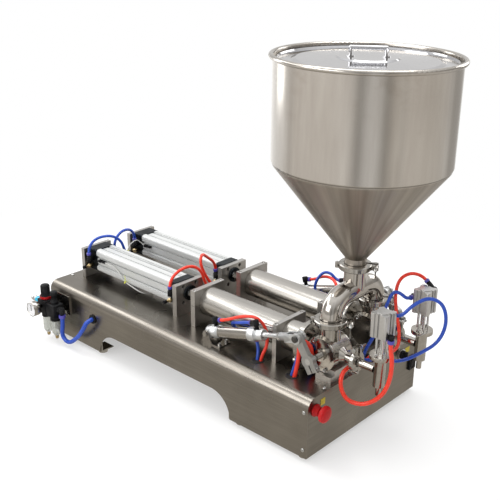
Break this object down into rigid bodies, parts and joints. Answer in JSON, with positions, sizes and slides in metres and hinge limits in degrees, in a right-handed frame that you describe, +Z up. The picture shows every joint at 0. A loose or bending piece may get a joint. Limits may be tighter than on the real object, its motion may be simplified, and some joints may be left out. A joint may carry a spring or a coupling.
{
  "type": "piston paste filling machine",
  "caption": "Bench-top horizontal pneumatic piston filler for paste: hopper on a tee manifold feeding parallel product cylinders, rotary valves and drip-free nozzles.",
  "frame": {"origin": "on the floor, at the middle of the cabinet's corner feet", "axes": "+X towards the nozzles, +Y to the far row, +Z up"},
  "size_m": [1.1887, 0.5262, 0.897],
  "materials": {
    "cabinet_steel": "satin",
    "foot_rubber": "matte",
    "plate_aluminium": "satin",
    "profile_aluminium": "satin",
    "black_cap": "satin",
    "polished_steel": "polished",
    "tube_steel": "satin",
    "clamp_steel": "satin",
    "screw_steel": "polished",
    "white_aluminium": "satin",
    "black_plastic": "matte",
    "red_plastic": "gloss",
    "clear_bowl": "gloss",
    "cyan_plastic": "gloss",
    "gauge": "polished",
    "brass_fitting": "satin",
    "blue_hose": "gloss",
    "red_hose": "gloss",
    "seal_plastic": "matte"
  },
  "bodies": {
    "machine": {"cabinet_shell": "cabinet_steel", "cabinet_front_panel": "cabinet_steel", "cabinet_rear_panel": "cabinet_steel", "cabinet_feet": "foot_rubber", "drive_plates": "plate_aluminium", "drive_barrels": "profile_aluminium", "drive_end_caps": "black_cap", "product_tubes": "tube_steel", "tube_clamp_plates": "plate_aluminium", "pipe_clamps": "clamp_steel", "valve_bodies": "tube_steel", "valve_covers": "tube_steel", "valve_blocks": "plate_aluminium", "actuator_brackets": "black_cap", "manifold": "polished_steel", "hopper": "tube_steel", "outlet_pipes": "polished_steel", "nozzle_bodies": "tube_steel", "nozzle_posts": "polished_steel", "nozzle_cylinders": "profile_aluminium", "panel_fittings": "black_plastic", "service_unit_body": "black_plastic", "service_unit_bowls": "clear_bowl", "pressure_gauge": "gauge", "push_in_fittings": "black_plastic", "reed_sensors": "black_plastic", "machine_screws": "screw_steel", "near_drive_rear_hose": "blue_hose", "far_drive_rear_hose": "blue_hose", "near_drive_front_hose": "red_hose", "far_drive_front_hose": "red_hose", "near_actuator_rear_hose": "red_hose", "near_actuator_front_hose": "blue_hose", "far_actuator_rear_hose": "red_hose", "far_actuator_front_hose": "blue_hose", "near_nozzle_low_hose": "red_hose", "near_nozzle_high_hose": "blue_hose", "far_nozzle_high_hose": "red_hose", "far_nozzle_low_hose": "blue_hose", "supply_hose": "blue_hose"},
    "near_ram": {"near_ram": "polished_steel"},
    "far_ram": {"far_ram": "polished_steel"},
    "near_valve": {"near_valve_spool": "polished_steel", "near_valve_lever": "plate_aluminium"},
    "far_valve": {"far_valve_spool": "polished_steel", "far_valve_lever": "plate_aluminium"},
    "near_actuator": {"near_actuator_barrel": "white_aluminium"},
    "far_actuator": {"far_actuator_barrel": "white_aluminium"},
    "near_actuator_rod": {"near_actuator_rod": "polished_steel"},
    "far_actuator_rod": {"far_actuator_rod": "polished_steel"},
    "near_stem": {"near_nozzle_stem": "polished_steel"},
    "far_stem": {"far_nozzle_stem": "polished_steel"},
    "lid": {"hopper_lid": "polished_steel"},
    "emergency_stop": {"estop_button": "red_plastic"},
    "selector": {"selector_knob": "black_plastic"},
    "regulator": {"regulator_knob": "black_plastic"},
    "sleeve": {"shutoff_sleeve": "cyan_plastic"},
    "hopper_wing": {"hopper_wing_nut": "clamp_steel"},
    "near_wing": {"near_wing_nut": "clamp_steel"},
    "far_wing": {"far_wing_nut": "clamp_steel"}
  },
  "joints": [
    {"name": "near_ram_slide", "type": "slide", "parent": "machine", "child": "near_ram", "axis": [1, 0, 0], "range_m": [0, 0.25]},
    {"name": "near_valve_turn", "type": "hinge", "parent": "machine", "child": "near_valve", "pos_m": [0.425, -0.084, 0.218], "axis": [0, 1, 0], "range_deg": [0, 70]},
    {"name": "near_actuator_tilt", "type": "hinge", "parent": "machine", "child": "near_actuator", "pos_m": [0.1155, -0.158, 0.1854], "axis": [0, 1, 0], "range_deg": [0, 3.3], "deforming": ["near_actuator_rear_hose", "near_actuator_front_hose"]},
    {"name": "near_actuator_slide", "type": "slide", "parent": "near_actuator", "child": "near_actuator_rod", "axis": [0.9601, 0, 0.2796], "range_m": [0, 0.0642]},
    {"name": "near_stem_lift", "type": "slide", "parent": "machine", "child": "near_stem", "axis": [0, 0, 1], "range_m": [0, 0.014]},
    {"name": "far_ram_slide", "type": "slide", "parent": "machine", "child": "far_ram", "axis": [1, 0, 0], "range_m": [0, 0.25]},
    {"name": "far_valve_turn", "type": "hinge", "parent": "machine", "child": "far_valve", "pos_m": [0.425, 0.084, 0.218], "axis": [0, 1, 0], "range_deg": [0, 70]},
    {"name": "far_actuator_tilt", "type": "hinge", "parent": "machine", "child": "far_actuator", "pos_m": [0.1155, 0.19, 0.1854], "axis": [0, 1, 0], "range_deg": [0, 3.3], "deforming": ["far_actuator_rear_hose", "far_actuator_front_hose"]},
    {"name": "far_actuator_slide", "type": "slide", "parent": "far_actuator", "child": "far_actuator_rod", "axis": [0.9601, 0, 0.2796], "range_m": [0, 0.0642]},
    {"name": "far_stem_lift", "type": "slide", "parent": "machine", "child": "far_stem", "axis": [0, 0, 1], "range_m": [0, 0.014]},
    {"name": "lid_lift", "type": "slide", "parent": "machine", "child": "lid", "axis": [0, 0, 1], "range_m": [0, 0.25]},
    {"name": "emergency_stop_press", "type": "slide", "parent": "machine", "child": "emergency_stop", "axis": [-1, 0, 0], "range_m": [0, 0.005], "stiffness_N_per_m": 900, "springref_m": -0.002},
    {"name": "selector_turn", "type": "hinge", "parent": "machine", "child": "selector", "pos_m": [0.4765, 0.148, 0.135], "axis": [1, 0, 0], "range_deg": [-45, 45]},
    {"name": "regulator_turn", "type": "hinge", "parent": "machine", "child": "regulator", "pos_m": [-0.456, -0.252, 0.127], "axis": [0, 0, 1], "continuous": true},
    {"name": "sleeve_slide", "type": "slide", "parent": "machine", "child": "sleeve", "axis": [-1, 0, 0], "range_m": [0, 0.008]},
    {"name": "hopper_wing_turn", "type": "hinge", "parent": "machine", "child": "hopper_wing", "pos_m": [0.46268, 0.02638, 0.404], "axis": [0.5736, -0.8192, 0], "continuous": true},
    {"name": "near_wing_turn", "type": "hinge", "parent": "machine", "child": "near_wing", "pos_m": [0.46268, -0.05762, 0.292], "axis": [0.5736, -0.8192, 0], "continuous": true},
    {"name": "far_wing_turn", "type": "hinge", "parent": "machine", "child": "far_wing", "pos_m": [0.46268, 0.11038, 0.292], "axis": [0.5736, -0.8192, 0], "continuous": true}
  ],
  "couplings": [
    {"joint": "near_actuator_tilt", "follows": "near_valve_turn", "ratio": 0.045779},
    {"joint": "near_actuator_slide", "follows": "near_valve_turn", "m_per_rad": 0.052465},
    {"joint": "far_actuator_tilt", "follows": "far_valve_turn", "ratio": 0.045779},
    {"joint": "far_actuator_slide", "follows": "far_valve_turn", "m_per_rad": 0.052465}
  ]
}
